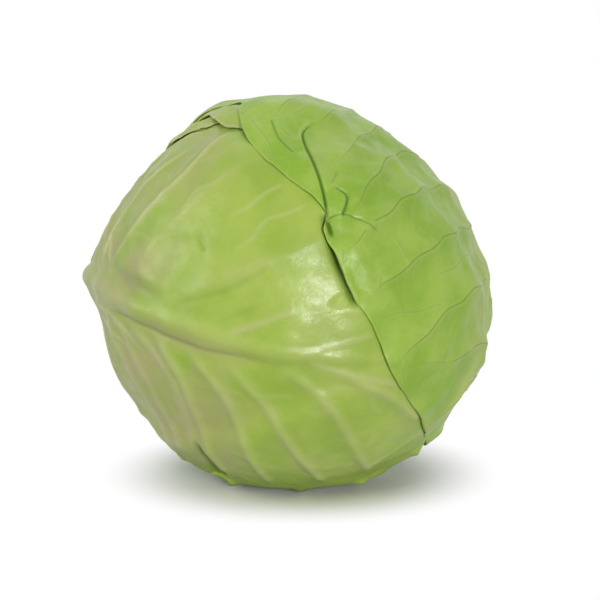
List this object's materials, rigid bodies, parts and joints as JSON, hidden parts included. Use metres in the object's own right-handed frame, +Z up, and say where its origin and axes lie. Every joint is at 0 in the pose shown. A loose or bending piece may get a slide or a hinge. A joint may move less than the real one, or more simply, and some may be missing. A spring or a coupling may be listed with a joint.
{
  "type": "white cabbage",
  "caption": "Whole white cabbage lying on its side: a round, tight head in overlapping ribbed outer leaves, with the cut stem end at the left.",
  "frame": {"origin": "on the surface that the cabbage lies on, under the middle of its bounding box", "axes": "+Z up; +X from the cut stem end toward the tip of the head; the front leaf faces -Y"},
  "size_m": [0.1702, 0.1638, 0.1626],
  "materials": {
    "heart": "pale, soft sheen",
    "lower_leaf": "waxy satin",
    "front_leaf": "waxy satin",
    "stem_side_leaf": "waxy satin",
    "back_leaf": "waxy satin",
    "crown_leaf": "waxy satin",
    "stem": "cut, matte"
  },
  "bodies": {
    "root": {"heart": "heart", "lower_leaf": "lower_leaf", "front_leaf": "front_leaf", "stem_side_leaf": "stem_side_leaf", "back_leaf": "back_leaf", "crown_leaf": "crown_leaf", "stem": "stem"}
  },
  "joints": []
}
